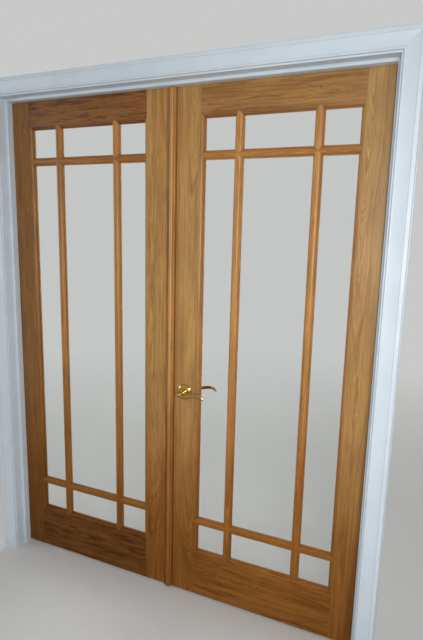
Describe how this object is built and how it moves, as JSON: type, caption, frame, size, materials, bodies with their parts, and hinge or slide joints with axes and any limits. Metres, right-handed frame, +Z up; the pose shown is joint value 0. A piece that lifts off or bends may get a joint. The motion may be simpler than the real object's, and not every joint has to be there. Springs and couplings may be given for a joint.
{
  "type": "french doors",
  "caption": "Glazed pine double doors with border-grid bars in a painted frame with moulded casings, with butt hinges, lever latch, meeting strip and flush bolt.",
  "frame": {"origin": "on the floor in the middle of the opening, in the plane of the closed leaves' stop-side faces", "axes": "+X across the opening to the right seen from the stop side, +Y the way the leaves open, +Z up"},
  "size_m": [1.6974, 0.1769, 2.111],
  "materials": {
    "pine": "honey-stained, satin varnish",
    "white_paint": "brushed satin paint",
    "glass": "clear float glass",
    "brass": "polished and lacquered",
    "steel": "zinc plated"
  },
  "bodies": {
    "frame": {"back_head_casing": "white_paint", "back_left_casing": "white_paint", "back_right_casing": "white_paint", "front_head_casing": "white_paint", "front_left_casing": "white_paint", "front_right_casing": "white_paint", "head_jamb": "white_paint", "head_stop": "white_paint", "head_strike_plate": "brass", "hinge_pins": "brass", "left_bottom_hinge_jamb_leaf": "brass", "left_jamb": "white_paint", "left_middle_hinge_jamb_leaf": "brass", "left_stop": "white_paint", "left_top_hinge_jamb_leaf": "brass", "right_bottom_hinge_jamb_leaf": "brass", "right_jamb": "white_paint", "right_middle_hinge_jamb_leaf": "brass", "right_stop": "white_paint", "right_top_hinge_jamb_leaf": "brass"},
    "left_leaf": {"left_bottom_hinge_door_leaf": "brass", "left_bottom_rail": "pine", "left_glass_panes": "glass", "left_hinge_stile": "pine", "left_inner_bar": "pine", "left_level_beads": "pine", "left_lower_bar": "pine", "left_meeting_stile": "pine", "left_middle_hinge_door_leaf": "brass", "left_outer_bar": "pine", "left_top_hinge_door_leaf": "brass", "left_top_rail": "pine", "left_upper_bar": "pine", "left_upright_beads": "pine", "astragal": "pine", "latch_strike_plate": "brass", "flush_bolt_case": "brass"},
    "right_leaf": {"right_bottom_hinge_door_leaf": "brass", "right_bottom_rail": "pine", "right_glass_panes": "glass", "right_hinge_stile": "pine", "right_inner_bar": "pine", "right_level_beads": "pine", "right_lower_bar": "pine", "right_meeting_stile": "pine", "right_middle_hinge_door_leaf": "brass", "right_outer_bar": "pine", "right_top_hinge_door_leaf": "brass", "right_top_rail": "pine", "right_upper_bar": "pine", "right_upright_beads": "pine", "latch_case": "brass", "front_rosette": "brass", "back_rosette": "brass"},
    "lever": {"front_lever": "brass", "back_lever": "brass", "spindle": "steel", "latch_hub": "steel"},
    "latch": {"latch_bolt": "brass"},
    "flush_bolt": {"flush_bolt_rod": "brass"}
  },
  "joints": [
    {"name": "left_leaf_swing", "type": "hinge", "parent": "frame", "child": "left_leaf", "pos_m": [-0.78125, 0.043, 0], "axis": [0, 0, 1], "range_deg": [0, 165]},
    {"name": "right_leaf_swing", "type": "hinge", "parent": "frame", "child": "right_leaf", "pos_m": [0.78125, 0.043, 0], "axis": [0, 0, -1], "range_deg": [0, 165]},
    {"name": "lever_turn", "type": "hinge", "parent": "right_leaf", "child": "lever", "pos_m": [0.06225, 0, 0.89], "axis": [0, 1, 0], "range_deg": [0, 45], "stiffness_Nm_per_rad": 1.2, "springref_deg": -28.65},
    {"name": "latch_slide", "type": "slide", "parent": "right_leaf", "child": "latch", "axis": [1, 0, 0], "range_m": [0, 0.0095]},
    {"name": "flush_bolt_slide", "type": "slide", "parent": "left_leaf", "child": "flush_bolt", "axis": [0, 0, 1], "range_m": [0, 0.015]}
  ],
  "couplings": [
    {"joint": "latch_slide", "follows": "lever_turn", "m_per_rad": 0.01209}
  ]
}
